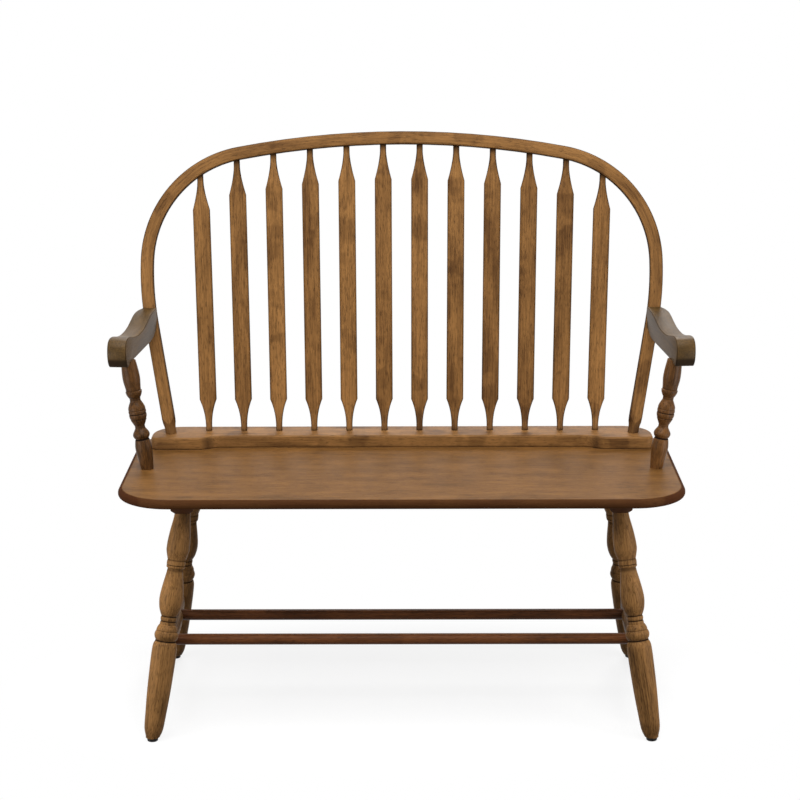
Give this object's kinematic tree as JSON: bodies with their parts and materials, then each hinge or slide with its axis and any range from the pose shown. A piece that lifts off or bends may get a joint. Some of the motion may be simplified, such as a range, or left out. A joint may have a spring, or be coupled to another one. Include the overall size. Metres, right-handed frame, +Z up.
{
  "type": "deacons bench",
  "caption": "Wooden bench with a long plank seat, a bent bow back filled with flat arrow spindles, shaped arms on turned posts and splayed turned legs tied by stretchers.",
  "frame": {"origin": "middle of the bench's bounding box at floor level", "axes": "+X to the right of a person facing the bench's front, +Y towards its back, +Z up"},
  "size_m": [1.0652, 0.549, 1.0345],
  "materials": {
    "seat_wood": "brown stained hardwood, satin lacquer, glued-up board with its grain along the bench",
    "back_wood": "brown stained hardwood, satin lacquer",
    "arm_wood": "brown stained hardwood, satin lacquer",
    "turned_wood": "brown stained hardwood, turned, satin lacquer",
    "dark_wood": "dark brown stained hardwood, satin lacquer",
    "glide_plastic": "black moulded plastic",
    "screw_steel": "zinc-plated steel"
  },
  "bodies": {
    "root": {"seat_board": "seat_wood", "back_riser": "back_wood", "back_bow": "back_wood", "spindle_01": "back_wood", "spindle_02": "back_wood", "spindle_03": "back_wood", "spindle_04": "back_wood", "spindle_05": "back_wood", "spindle_06": "back_wood", "spindle_07": "back_wood", "spindle_08": "back_wood", "spindle_09": "back_wood", "spindle_10": "back_wood", "spindle_11": "back_wood", "spindle_12": "back_wood", "leg_batten_left": "dark_wood", "leg_front_left": "turned_wood", "glide_front_left": "glide_plastic", "leg_rear_left": "turned_wood", "glide_rear_left": "glide_plastic", "side_stretcher_left": "turned_wood", "batten_screw_left_1": "screw_steel", "batten_screw_left_2": "screw_steel", "batten_screw_left_3": "screw_steel", "leg_batten_right": "dark_wood", "leg_front_right": "turned_wood", "glide_front_right": "glide_plastic", "leg_rear_right": "turned_wood", "glide_rear_right": "glide_plastic", "side_stretcher_right": "turned_wood", "batten_screw_right_1": "screw_steel", "batten_screw_right_2": "screw_steel", "batten_screw_right_3": "screw_steel", "cross_stretcher_front": "dark_wood", "cross_stretcher_rear": "dark_wood", "riser_screw_1": "screw_steel", "riser_screw_2": "screw_steel", "riser_screw_3": "screw_steel", "riser_screw_4": "screw_steel", "riser_screw_5": "screw_steel", "arm_left": "arm_wood", "arm_post_left": "turned_wood", "arm_screw_left": "screw_steel", "arm_screw_plug_left": "back_wood", "arm_right": "arm_wood", "arm_post_right": "turned_wood", "arm_screw_right": "screw_steel", "arm_screw_plug_right": "back_wood"}
  },
  "joints": []
}
